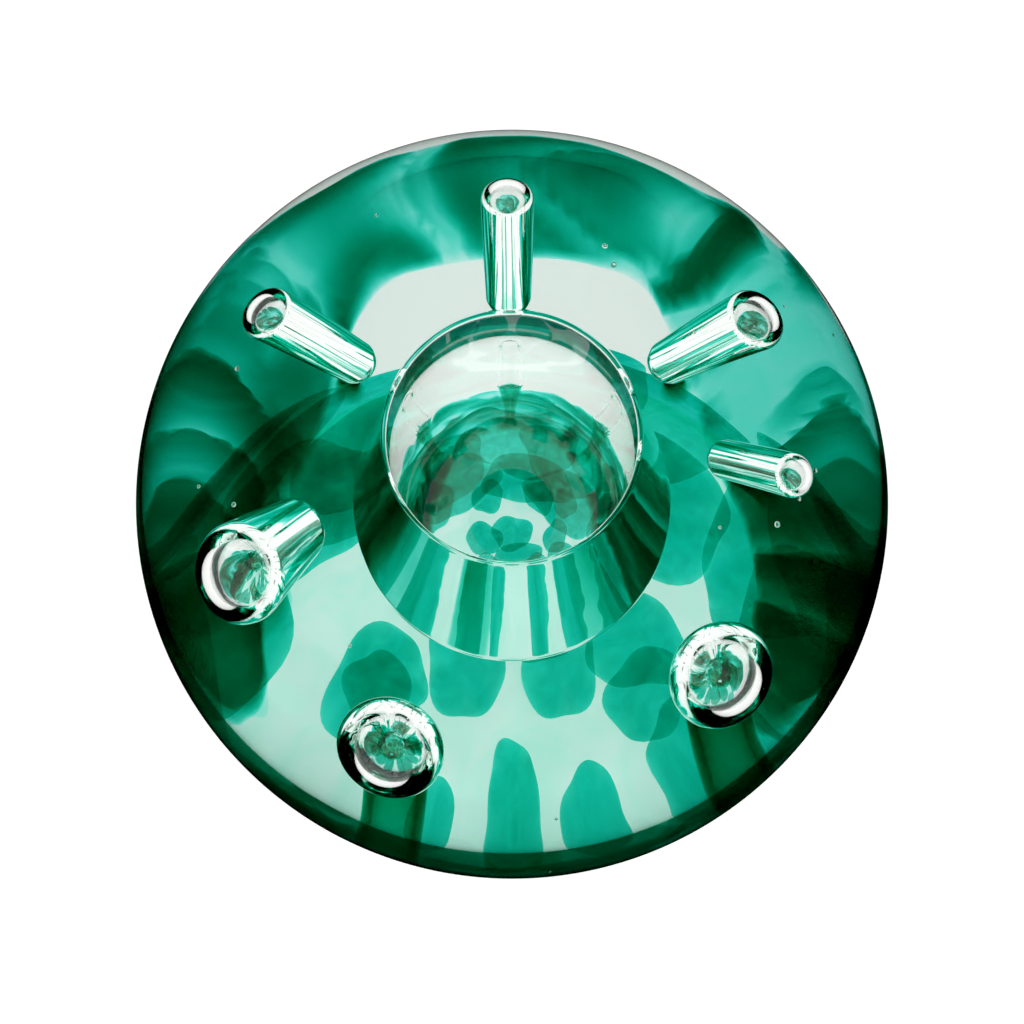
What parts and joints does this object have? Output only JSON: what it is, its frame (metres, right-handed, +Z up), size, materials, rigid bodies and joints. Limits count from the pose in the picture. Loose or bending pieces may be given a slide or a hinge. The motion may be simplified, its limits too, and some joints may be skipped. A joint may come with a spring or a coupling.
{
  "type": "glass candle holder",
  "caption": "Clear art-glass ball with a round well in the top for a candle or a stem, a cup of melted green chips inside and a ring of long air bubbles on green stems.",
  "frame": {"origin": "centre of the flat ground base, where the ball stands", "axes": "+Z up along the axis of the ball and the well; the colour cup sits forward, towards -Y"},
  "size_m": [0.076, 0.076, 0.0621],
  "materials": {
    "clear_glass": "gloss",
    "mint_glass": "gloss",
    "stem_glass": "gloss",
    "green_glass": "gloss"
  },
  "bodies": {
    "root": {"base_petal_1": "green_glass", "base_petal_10": "green_glass", "base_petal_2": "green_glass", "base_petal_3": "green_glass", "base_petal_4": "green_glass", "base_petal_5": "green_glass", "base_petal_6": "green_glass", "base_petal_7": "green_glass", "base_petal_8": "green_glass", "base_petal_9": "green_glass", "colour_veil": "mint_glass", "core_gather": "clear_glass", "floor_chip_1": "green_glass", "floor_chip_2": "green_glass", "floor_chip_3": "green_glass", "floor_chip_4": "green_glass", "foot_chip_1": "green_glass", "foot_chip_10": "green_glass", "foot_chip_2": "green_glass", "foot_chip_3": "green_glass", "foot_chip_4": "green_glass", "foot_chip_5": "green_glass", "foot_chip_6": "green_glass", "foot_chip_7": "green_glass", "foot_chip_8": "green_glass", "foot_chip_9": "green_glass", "leaf_1": "green_glass", "leaf_10": "green_glass", "leaf_11": "green_glass", "leaf_12": "green_glass", "leaf_13": "green_glass", "leaf_14": "green_glass", "leaf_2": "green_glass", "leaf_3": "green_glass", "leaf_4": "green_glass", "leaf_5": "green_glass", "leaf_6": "green_glass", "leaf_7": "green_glass", "leaf_8": "green_glass", "leaf_9": "green_glass", "outer_casing": "clear_glass", "rim_petal_1": "green_glass", "rim_petal_10": "green_glass", "rim_petal_11": "green_glass", "rim_petal_12": "green_glass", "rim_petal_2": "green_glass", "rim_petal_3": "green_glass", "rim_petal_4": "green_glass", "rim_petal_5": "green_glass", "rim_petal_6": "green_glass", "rim_petal_7": "green_glass", "rim_petal_8": "green_glass", "rim_petal_9": "green_glass", "stem_1": "stem_glass", "stem_2": "stem_glass", "stem_3": "stem_glass", "stem_4": "stem_glass", "stem_5": "stem_glass", "stem_6": "stem_glass", "stem_7": "stem_glass"}
  },
  "joints": []
}
